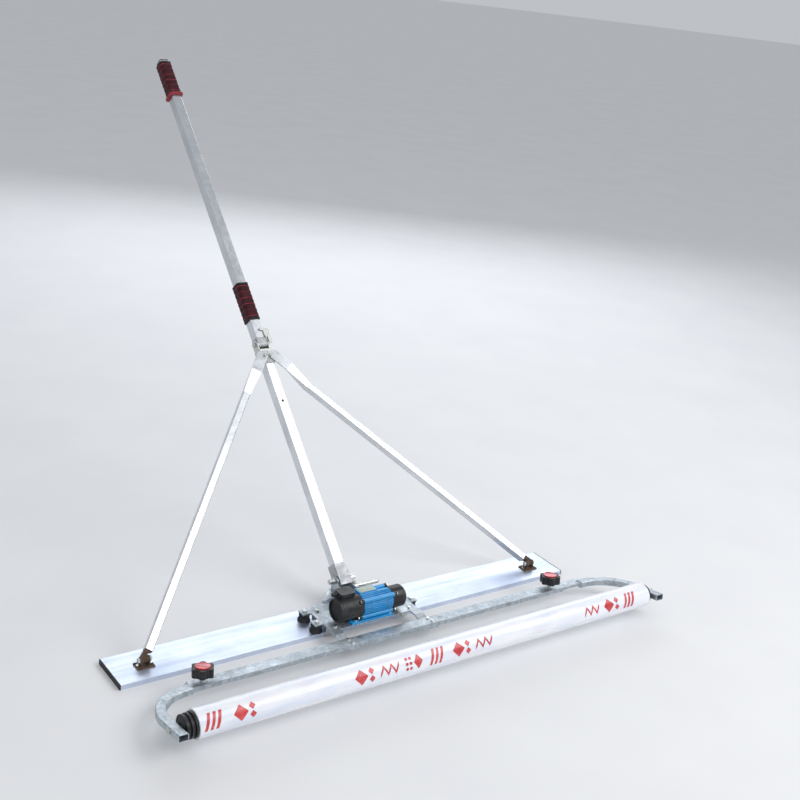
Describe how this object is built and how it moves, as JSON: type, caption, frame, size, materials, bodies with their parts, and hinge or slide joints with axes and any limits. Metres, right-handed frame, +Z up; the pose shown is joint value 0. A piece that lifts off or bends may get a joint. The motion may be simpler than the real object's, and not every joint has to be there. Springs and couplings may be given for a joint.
{
  "type": "power screed",
  "caption": "Walk-behind power screed: hollow blade with a vibrator motor, braced folding handle, and a cross-bar with bent arms carrying a film roll.",
  "frame": {"origin": "centre of the blade's flat underside", "axes": "+X along the blade to the right as seen from the front, +Y from the film roll towards the person at the handle, +Z up"},
  "size_m": [1.609, 1.7802, 1.3347],
  "materials": {
    "blade_aluminium": "bright mill finish, fine scratches along the blade",
    "tube_aluminium": "bright extruded tube",
    "cast_aluminium": "sand-cast grey",
    "zinc_steel": "bright zinc plating",
    "galvanised_steel": "mottled grey hot-dip galvanising",
    "brown_steel": "dark brown, rusted and oily",
    "core_steel": "dull dark steel",
    "rubber": "matt black rubber",
    "foam": "soft maroon and black ribbed grip",
    "black_plastic": "moulded black, faint sheen",
    "red_plastic": "glossy red cap",
    "white_film": "white wound film, satin",
    "card": "wound brown card",
    "blue_paint": "bright blue gloss enamel",
    "plate_grey": "plain satin grey-green plate, nothing on it"
  },
  "bodies": {
    "chassis": {"blade": "blade_aluminium", "blade_cap_left": "black_plastic", "blade_cap_right": "black_plastic", "foot_brackets": "brown_steel", "foot_pins": "zinc_steel", "foot_screws": "zinc_steel", "base_plate": "galvanised_steel", "rail_left": "galvanised_steel", "rail_right": "galvanised_steel", "rubber_dampers": "rubber", "damper_bolts": "zinc_steel", "damper_brackets": "zinc_steel", "cross_bar": "galvanised_steel", "bar_bolts": "zinc_steel", "knob_nuts": "zinc_steel", "socket_bolt": "zinc_steel", "motor_housing": "blue_paint", "end_shields": "cast_aluminium", "cover_left": "black_plastic", "cover_right": "black_plastic", "cover_bolts": "zinc_steel", "motor_foot_bolts": "zinc_steel", "stator": "core_steel", "bearings": "zinc_steel", "junction_box": "black_plastic", "cable_gland": "black_plastic", "name_plate": "plate_grey"},
    "handle_low": {"lower_pole": "tube_aluminium", "pole_socket": "galvanised_steel", "fold_bracket": "zinc_steel"},
    "handle_high": {"fold_knuckle": "cast_aluminium", "fold_bolt": "zinc_steel", "upper_pole": "tube_aluminium", "grip_lower": "foam", "grip_upper": "foam", "pole_end_cap": "black_plastic"},
    "fold_latch": {"fold_lever": "zinc_steel"},
    "brace": {"strut_left": "tube_aluminium", "strut_right": "tube_aluminium", "strut_knuckles": "brown_steel", "hub_collar": "zinc_steel", "hub_bolts": "zinc_steel"},
    "crank": {"tilt_crank": "galvanised_steel"},
    "rotor": {"motor_shaft": "zinc_steel", "rotor_core": "core_steel", "eccentric_weights": "core_steel"},
    "arm_l": {"arm_left": "galvanised_steel", "plug_pin_left": "zinc_steel"},
    "arm_r": {"arm_right": "galvanised_steel", "plug_pin_right": "zinc_steel"},
    "plug_l": {"plug_left": "black_plastic"},
    "plug_r": {"plug_right": "black_plastic"},
    "roll": {"roll_core": "card", "film_roll": "white_film"},
    "clamp_l": {"knob_left": "black_plastic", "knob_cap_left": "red_plastic", "knob_screw_left": "zinc_steel"},
    "clamp_r": {"knob_right": "black_plastic", "knob_cap_right": "red_plastic", "knob_screw_right": "zinc_steel"}
  },
  "joints": [
    {"name": "handle_tilt", "type": "hinge", "parent": "chassis", "child": "handle_low", "pos_m": [0, 0.075, 0.073], "axis": [1, 0, 0], "range_deg": [-10, 10]},
    {"name": "strut_swing", "type": "hinge", "parent": "chassis", "child": "brace", "pos_m": [0, -0.007, 0.032], "axis": [1, 0, 0], "range_deg": [-10, 10]},
    {"name": "pole_fold", "type": "hinge", "parent": "handle_low", "child": "handle_high", "pos_m": [0, 0.62411, 0.59409], "axis": [1, 0, 0], "range_deg": [0, 90]},
    {"name": "latch_turn", "type": "hinge", "parent": "handle_high", "child": "fold_latch", "pos_m": [0.0265, 0.62411, 0.59409], "axis": [0, -0.6884, 0.7254], "range_deg": [-100, 0]},
    {"name": "crank_turn", "type": "hinge", "parent": "chassis", "child": "crank", "pos_m": [0, 0.075, 0.073], "axis": [1, 0, 0], "range_deg": [-110, 0]},
    {"name": "rotor_spin", "type": "hinge", "parent": "chassis", "child": "rotor", "pos_m": [0, -0.065, 0.078], "axis": [1, 0, 0], "continuous": true},
    {"name": "arm_slide_left", "type": "slide", "parent": "chassis", "child": "arm_l", "axis": [-1, 0, 0], "range_m": [0, 0.06]},
    {"name": "arm_slide_right", "type": "slide", "parent": "chassis", "child": "arm_r", "axis": [1, 0, 0], "range_m": [0, 0.06]},
    {"name": "roll_spin", "type": "hinge", "parent": "chassis", "child": "roll", "pos_m": [0, -0.33003, 0.06552], "axis": [1, 0, 0], "continuous": true},
    {"name": "plug_spin_left", "type": "hinge", "parent": "arm_l", "child": "plug_l", "pos_m": [0, -0.33003, 0.06552], "axis": [1, 0, 0], "continuous": true},
    {"name": "plug_spin_right", "type": "hinge", "parent": "arm_r", "child": "plug_r", "pos_m": [0, -0.33003, 0.06552], "axis": [1, 0, 0], "continuous": true},
    {"name": "knob_turn_left", "type": "hinge", "parent": "chassis", "child": "clamp_l", "pos_m": [-0.579, -0.168, 0.04], "axis": [0, 0.1736, 0.9848], "range_deg": [0, 360]},
    {"name": "knob_turn_right", "type": "hinge", "parent": "chassis", "child": "clamp_r", "pos_m": [0.591, -0.168, 0.04], "axis": [0, 0.1736, 0.9848], "range_deg": [0, 360]}
  ],
  "couplings": [
    {"joint": "strut_swing", "follows": "handle_tilt", "ratio": 0.89},
    {"joint": "plug_spin_left", "follows": "roll_spin", "ratio": 1},
    {"joint": "plug_spin_right", "follows": "roll_spin", "ratio": 1}
  ]
}
